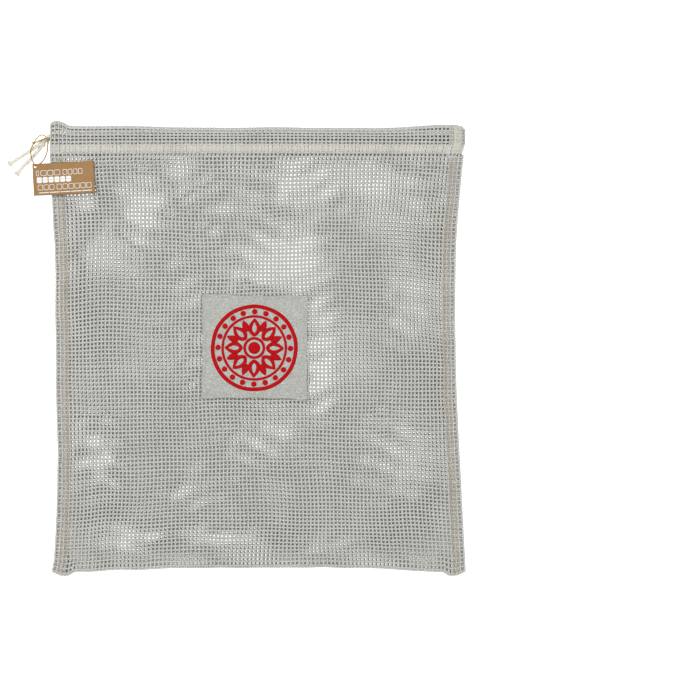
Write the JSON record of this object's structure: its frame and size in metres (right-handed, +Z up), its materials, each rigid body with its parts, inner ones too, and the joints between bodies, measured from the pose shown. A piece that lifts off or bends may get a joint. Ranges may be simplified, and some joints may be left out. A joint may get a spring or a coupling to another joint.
{
  "type": "mesh laundry bag",
  "caption": "Flat-lying drawstring bag of open cotton net with a canvas patch, a knotted cord and a card hang tag.",
  "frame": {"origin": "middle of the underside of the back wall, where the bag lies on a surface", "axes": "+X to the bag's right, +Y along the bag to its mouth, +Z up through the front wall"},
  "size_m": [0.4165, 0.4105, 0.02],
  "materials": {
    "net_cotton": "open cotton net",
    "seam_band": "folded, overlocked net",
    "sewing_thread": "cotton thread",
    "canvas": "plain weave canvas",
    "red_ink": "screen print on canvas",
    "cotton_cord": "braided cotton",
    "kraft_card": "matt kraft card",
    "white_ink": "matt print on card",
    "gold_twine": "thin twisted string"
  },
  "bodies": {
    "bag": {"back_panel": "net_cotton", "front_panel": "net_cotton", "bottom_fold": "net_cotton", "casing_back": "net_cotton", "casing_front": "net_cotton", "seam_allowance_left": "seam_band", "seam_allowance_right": "seam_band", "side_stitching_left": "sewing_thread", "side_stitching_right": "sewing_thread", "hem_stitching_front": "sewing_thread", "hem_stitching_back": "sewing_thread", "canvas_patch": "canvas", "patch_stitching": "sewing_thread", "patch_print": "red_ink"},
    "drawstring": {"drawstring": "cotton_cord", "drawstring_knot": "cotton_cord", "cord_end_upper": "cotton_cord", "cord_end_lower": "cotton_cord", "casing_right_turn": "net_cotton"},
    "tag_loop": {"tag_string": "gold_twine", "tag_string_knot": "gold_twine"},
    "tag": {"hang_tag": "kraft_card", "tag_print": "white_ink"}
  },
  "joints": [
    {"name": "drawstring_pull", "type": "slide", "parent": "bag", "child": "drawstring", "axis": [-1, 0, 0], "range_m": [0, 0.15], "deforming": ["casing_front", "casing_back", "hem_stitching_front", "hem_stitching_back"]},
    {"name": "tag_loop_swing", "type": "hinge", "parent": "drawstring", "child": "tag_loop", "pos_m": [-0.1925, 0.1905, 0.0065], "axis": [-1, 0, 0], "range_deg": [0, 170], "deforming": ["tag_string"]},
    {"name": "tag_swivel", "type": "hinge", "parent": "tag_loop", "child": "tag", "pos_m": [-0.2026, 0.1646, 0.0105], "axis": [-0.061, -0.0032, 0.9981], "range_deg": [-90, 0]}
  ]
}
